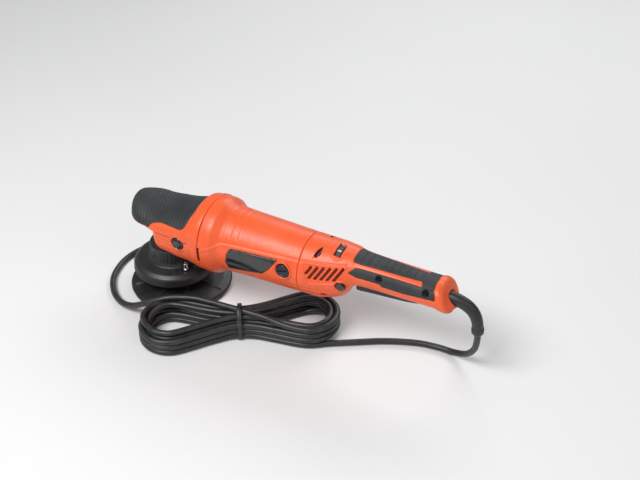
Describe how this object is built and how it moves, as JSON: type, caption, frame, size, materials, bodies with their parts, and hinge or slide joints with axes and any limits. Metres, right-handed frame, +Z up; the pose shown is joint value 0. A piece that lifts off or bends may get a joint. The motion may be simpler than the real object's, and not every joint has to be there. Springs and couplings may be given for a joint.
{
  "type": "dual action polisher",
  "caption": "Corded dual action car polisher: bevel-geared motor, eccentric free-turning backing plate, ribbed rubber head cover, straight rear handle with paddle switch, hanked cord.",
  "frame": {"origin": "on the spindle axis, at the working face of the backing plate", "axes": "+X along the motor axis from the head to the tail of the handle, +Z up along the spindle, -Y the user's left side with the badge"},
  "size_m": [0.4598, 0.2361, 0.1342],
  "materials": {
    "black_plastic": "fine moulded grain",
    "black_rubber": "matte, ribbed",
    "brass": "drawn",
    "bright_steel": "ground",
    "carbon": "pressed graphite",
    "cast_aluminium": "die cast",
    "circuit_board": "lacquered",
    "copper_winding": "enamelled wire",
    "cord_jacket": "matte jacket",
    "dark_steel": "blackened",
    "gloss_black": "glossy",
    "hook_fabric": "woven hooks",
    "orange_plastic": "satin moulded"
  },
  "bodies": {
    "housing": {"head_shell": "orange_plastic", "head_grip": "black_rubber", "side_handle_cap_left": "black_plastic", "side_handle_cap_right": "black_plastic", "gearbox_housing": "cast_aluminium", "gearbox_lid": "cast_aluminium", "spindle_top_bearing": "bright_steel", "spindle_main_bearing": "bright_steel", "motor_front_bearing": "bright_steel", "bearing_retainer": "dark_steel", "plate_shroud": "black_plastic", "guard_bolt": "bright_steel", "motor_housing": "orange_plastic", "badge": "gloss_black", "stator_core": "dark_steel", "stator_coil_front": "copper_winding", "stator_coil_rear": "copper_winding", "motor_rear_bearing": "bright_steel", "brush_holder_left": "brass", "carbon_brush_left": "carbon", "brush_cap_left": "black_plastic", "brush_holder_right": "brass", "carbon_brush_right": "carbon", "brush_cap_right": "black_plastic", "handle_shell_left": "orange_plastic", "handle_shell_right": "orange_plastic", "grip_top": "black_rubber", "grip_side_left": "black_rubber", "grip_side_right": "black_rubber", "handle_screw_1": "dark_steel", "handle_screw_2": "dark_steel", "handle_screw_3": "dark_steel", "speed_controller": "circuit_board", "switch_module": "black_plastic", "strain_relief": "black_rubber", "cord_hank": "cord_jacket", "cord_tie": "black_plastic", "cord_lead": "cord_jacket", "cord_tail": "cord_jacket", "plug": "black_plastic", "plug_pin_left": "brass", "plug_pin_right": "brass"},
    "rotor": {"armature_shaft": "bright_steel", "armature_core": "dark_steel", "armature_winding_front": "copper_winding", "armature_winding_rear": "copper_winding", "commutator": "copper_winding", "cooling_fan": "black_plastic", "drive_pinion": "bright_steel"},
    "spindle": {"spindle": "bright_steel", "crown_gear": "dark_steel", "counterweight": "dark_steel", "eccentric_bearing": "bright_steel"},
    "plate": {"plate_shaft": "bright_steel", "backing_plate": "black_plastic", "hook_pad": "hook_fabric", "plate_screw": "bright_steel"},
    "trigger": {"paddle_trigger": "black_plastic"},
    "lock": {"lock_button": "black_plastic"},
    "dial": {"speed_dial": "black_plastic"}
  },
  "joints": [
    {"name": "spindle_spin", "type": "hinge", "parent": "housing", "child": "spindle", "pos_m": [0, 0, 0.06], "axis": [0, 0, 1], "continuous": true},
    {"name": "rotor_spin", "type": "hinge", "parent": "housing", "child": "rotor", "pos_m": [0.1, 0, 0.09], "axis": [-1, 0, 0], "continuous": true},
    {"name": "plate_spin", "type": "hinge", "parent": "spindle", "child": "plate", "pos_m": [0.0075, 0, 0.02], "axis": [0, 0, 1], "continuous": true},
    {"name": "trigger_squeeze", "type": "hinge", "parent": "housing", "child": "trigger", "pos_m": [0.312, 0, 0.091], "axis": [0, 1, 0], "range_deg": [0, 4.5], "stiffness_Nm_per_rad": 2, "springref_deg": -8.59},
    {"name": "lock_press", "type": "slide", "parent": "housing", "child": "lock", "axis": [0, 1, 0], "range_m": [0, 0.003], "stiffness_N_per_m": 400, "springref_m": -0.002},
    {"name": "speed_turn", "type": "hinge", "parent": "housing", "child": "dial", "pos_m": [0.221, -0.004, 0.1124], "axis": [1, 0, 0], "range_deg": [0, 270]}
  ],
  "couplings": [
    {"joint": "rotor_spin", "follows": "spindle_spin", "ratio": 3.4286}
  ]
}
